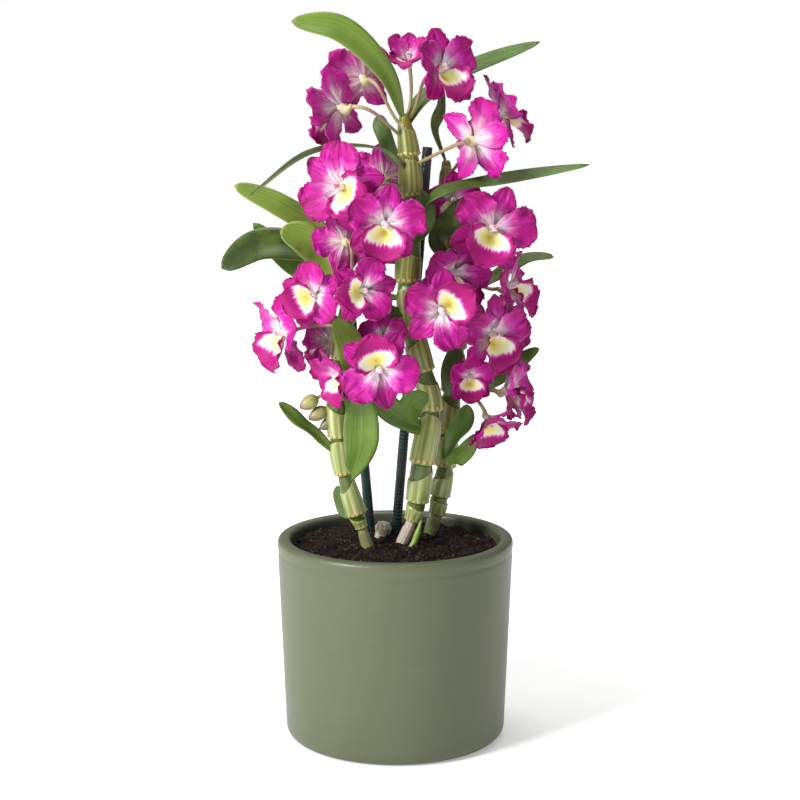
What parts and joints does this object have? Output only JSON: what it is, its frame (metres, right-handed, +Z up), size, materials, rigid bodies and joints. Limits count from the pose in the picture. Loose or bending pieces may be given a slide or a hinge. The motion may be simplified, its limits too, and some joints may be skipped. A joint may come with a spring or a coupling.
{
  "type": "dendrobium orchid",
  "caption": "Potted dendrobium orchid: leafy canes with magenta, white-centred blooms along them, tied to slim stakes in a matte green ceramic pot that stands on its flat base.",
  "frame": {"origin": "middle of the pot's underside, on the surface it stands on", "axes": "+Z up along the pot's axis and the canes, +X to the right as the picture shows it, +Y away from the viewer"},
  "size_m": [0.214, 0.14, 0.4271],
  "materials": {
    "pot_ceramic": "matte",
    "potting_mix": "matte",
    "cane_green": "satin",
    "stake_green": "gloss",
    "papery_sheath": "matte",
    "shoot_green": "satin",
    "petal_magenta": "satin"
  },
  "bodies": {
    "root": {"pot": "pot_ceramic", "potting_mix": "potting_mix", "cane_left": "cane_green", "cane_middle": "cane_green", "cane_right": "cane_green", "stake_middle": "stake_green", "stake_left": "stake_green", "old_cane_stub": "papery_sheath", "new_shoot": "shoot_green", "bloom_01": "petal_magenta", "bloom_02": "petal_magenta", "bloom_03": "petal_magenta", "bloom_04": "petal_magenta", "bloom_05": "petal_magenta", "bloom_06": "petal_magenta", "bloom_07": "petal_magenta", "bloom_08": "petal_magenta", "bloom_09": "petal_magenta", "bloom_10": "petal_magenta", "bloom_11": "petal_magenta", "bloom_12": "petal_magenta", "bloom_13": "petal_magenta", "bloom_14": "petal_magenta", "bloom_15": "petal_magenta", "bloom_16": "petal_magenta", "bloom_17": "petal_magenta", "bloom_18": "petal_magenta", "bloom_19": "petal_magenta", "bloom_20": "petal_magenta", "bloom_21": "petal_magenta", "bloom_22": "petal_magenta", "bloom_23": "petal_magenta", "bloom_24": "petal_magenta", "bloom_25": "petal_magenta", "bloom_26": "petal_magenta", "bloom_27": "petal_magenta", "bloom_28": "petal_magenta"}
  },
  "joints": []
}
